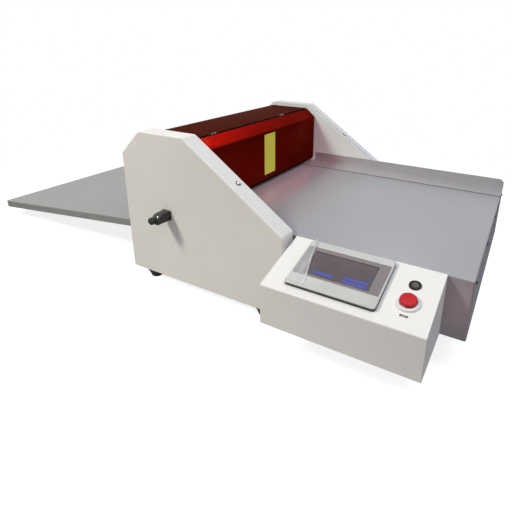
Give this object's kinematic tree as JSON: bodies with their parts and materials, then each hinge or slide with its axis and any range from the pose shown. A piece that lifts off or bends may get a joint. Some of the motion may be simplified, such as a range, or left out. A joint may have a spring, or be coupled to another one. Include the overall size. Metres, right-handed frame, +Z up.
{
  "type": "paper creasing machine",
  "caption": "Desktop creasing machine for sheets: side casings, feed table with side guide, hinged clear red cover, sloping outfeed tray and side control box.",
  "frame": {"origin": "on the plane of the feet, under the middle of the whole machine with its trays and control box", "axes": "+X towards the infeed end, -X towards the outfeed tray, -Y towards the control box and the operator, +Z up"},
  "size_m": [1.482, 0.735, 0.384],
  "materials": {
    "casing_paint": "satin warm grey-white paint",
    "frame_paint": "satin paint over steel plate",
    "black_rubber": "matt black rubber",
    "black_plastic": "black moulded plastic",
    "dark_motor": "black painted motor body",
    "bright_steel": "ground bright steel",
    "bronze": "plain bearing bronze",
    "holder_steel": "milled steel",
    "pulley_alu": "machined aluminium",
    "red_sheet": "clear dark red sheet, glossy",
    "table_paint": "satin grey powder coat",
    "tray_paint": "satin grey powder coat",
    "guide_steel": "brushed steel strip",
    "box_paint": "satin warm white paint",
    "panel_plastic": "silver-grey moulded bezel",
    "screen_glass": "display behind glass",
    "red_plastic": "red moulded cap",
    "white_plastic": "white moulded collar"
  },
  "bodies": {
    "machine_frame": {"bed_beam": "frame_paint", "belly_pan": "frame_paint", "button_contacts": "black_plastic", "control_box": "box_paint", "cover_rests": "black_plastic", "cover_screws": "bright_steel", "crease_belt": "black_plastic", "crease_motor": "dark_motor", "feed_belt": "black_plastic", "feed_motor": "dark_motor", "feet": "black_rubber", "front_beam": "frame_paint", "guard": "red_sheet", "guide_rails": "bright_steel", "hinge_leaves_fixed": "bright_steel", "hinge_pins": "bright_steel", "infeed_table": "table_paint", "inlet_pins": "bronze", "outfeed_tray": "tray_paint", "power_inlet": "black_plastic", "power_supply": "pulley_alu", "rear_beam": "frame_paint", "shaft_bushes": "bronze", "side_cover_far": "casing_paint", "side_cover_near": "casing_paint", "side_frame_far": "frame_paint", "side_frame_near": "frame_paint", "side_guide": "guide_steel", "start_bezel": "bright_steel", "stop_collar": "white_plastic", "table_end_bar": "bright_steel", "table_screws": "bright_steel", "top_beam": "frame_paint", "touch_bezel": "panel_plastic", "touch_gasket": "black_plastic", "touch_screen": "screen_glass"},
    "cover": {"front_cover": "red_sheet", "hinge_leaves_moving": "bright_steel"},
    "stop_button": {"stop_cap": "red_plastic"},
    "start_button": {"start_cap": "black_plastic"},
    "depth_adjuster": {"depth_shaft": "bright_steel", "depth_knob": "black_plastic", "knob_screw": "bright_steel"},
    "anvil": {"anvil_bar": "bright_steel"},
    "cam_rotor": {"cam_shaft": "bright_steel", "lift_cams": "bright_steel", "cam_pulley": "pulley_alu"},
    "crease_motor_rotor": {"crease_motor_pulley": "pulley_alu"},
    "blade_slide_unit": {"blade": "bright_steel", "blade_holder": "holder_steel"},
    "infeed_drive": {"infeed_drive_roller": "bright_steel", "infeed_drive_rubber": "black_rubber", "infeed_drive_pulley": "pulley_alu"},
    "outfeed_drive": {"outfeed_drive_roller": "bright_steel", "outfeed_drive_rubber": "black_rubber", "outfeed_drive_pulley": "pulley_alu"},
    "infeed_pinch": {"infeed_pinch_roller": "bright_steel"},
    "outfeed_pinch": {"outfeed_pinch_roller": "bright_steel"},
    "feed_motor_rotor": {"feed_motor_pulley": "pulley_alu"}
  },
  "joints": [
    {"name": "cover_hinge", "type": "hinge", "parent": "machine_frame", "child": "cover", "pos_m": [0.12609, 0.0485, 0.373], "axis": [0, -1, 0], "range_deg": [0, 218]},
    {"name": "stop_push", "type": "slide", "parent": "machine_frame", "child": "stop_button", "axis": [0, 0.2699, -0.9629], "range_m": [0, 0.003], "stiffness_N_per_m": 700, "springref_m": -0.003},
    {"name": "start_push", "type": "slide", "parent": "machine_frame", "child": "start_button", "axis": [0, 0.2699, -0.9629], "range_m": [0, 0.002], "stiffness_N_per_m": 500, "springref_m": -0.002},
    {"name": "depth_turn", "type": "hinge", "parent": "machine_frame", "child": "depth_adjuster", "pos_m": [0.06909, 0.0485, 0.189], "axis": [0, 1, 0], "range_deg": [0, 150]},
    {"name": "anvil_slide", "type": "slide", "parent": "machine_frame", "child": "anvil", "axis": [0, 0, -1], "range_m": [0, 0.0015]},
    {"name": "cam_turn", "type": "hinge", "parent": "machine_frame", "child": "cam_rotor", "pos_m": [0.06909, 0.0485, 0.2948], "axis": [0, 1, 0], "range_deg": [0, 170]},
    {"name": "crease_motor_turn", "type": "hinge", "parent": "machine_frame", "child": "crease_motor_rotor", "pos_m": [0.13909, 0.0485, 0.1], "axis": [0, 1, 0], "range_deg": [0, 170]},
    {"name": "blade_slide", "type": "slide", "parent": "machine_frame", "child": "blade_slide_unit", "axis": [0, 0, -1], "range_m": [0, 0.0058]},
    {"name": "infeed_drive_spin", "type": "hinge", "parent": "machine_frame", "child": "infeed_drive", "pos_m": [0.12809, 0.0485, 0.183], "axis": [0, 1, 0], "continuous": true},
    {"name": "outfeed_drive_spin", "type": "hinge", "parent": "machine_frame", "child": "outfeed_drive", "pos_m": [0.01009, 0.0485, 0.183], "axis": [0, 1, 0], "continuous": true},
    {"name": "infeed_pinch_spin", "type": "hinge", "parent": "machine_frame", "child": "infeed_pinch", "pos_m": [0.12809, 0.0485, 0.2113], "axis": [0, 1, 0], "continuous": true},
    {"name": "outfeed_pinch_spin", "type": "hinge", "parent": "machine_frame", "child": "outfeed_pinch", "pos_m": [0.01009, 0.0485, 0.2113], "axis": [0, 1, 0], "continuous": true},
    {"name": "feed_motor_spin", "type": "hinge", "parent": "machine_frame", "child": "feed_motor_rotor", "pos_m": [0.06909, 0.0485, 0.1], "axis": [0, 1, 0], "continuous": true}
  ],
  "couplings": [
    {"joint": "depth_turn", "follows": "anvil_slide", "rad_per_m": 1745.3},
    {"joint": "cam_turn", "follows": "blade_slide", "rad_per_m": 511.5},
    {"joint": "crease_motor_turn", "follows": "blade_slide", "rad_per_m": 511.5},
    {"joint": "outfeed_drive_spin", "follows": "infeed_drive_spin", "ratio": 1},
    {"joint": "feed_motor_spin", "follows": "infeed_drive_spin", "ratio": 1},
    {"joint": "infeed_pinch_spin", "follows": "infeed_drive_spin", "ratio": -1.3333},
    {"joint": "outfeed_pinch_spin", "follows": "infeed_drive_spin", "ratio": -1.3333}
  ]
}
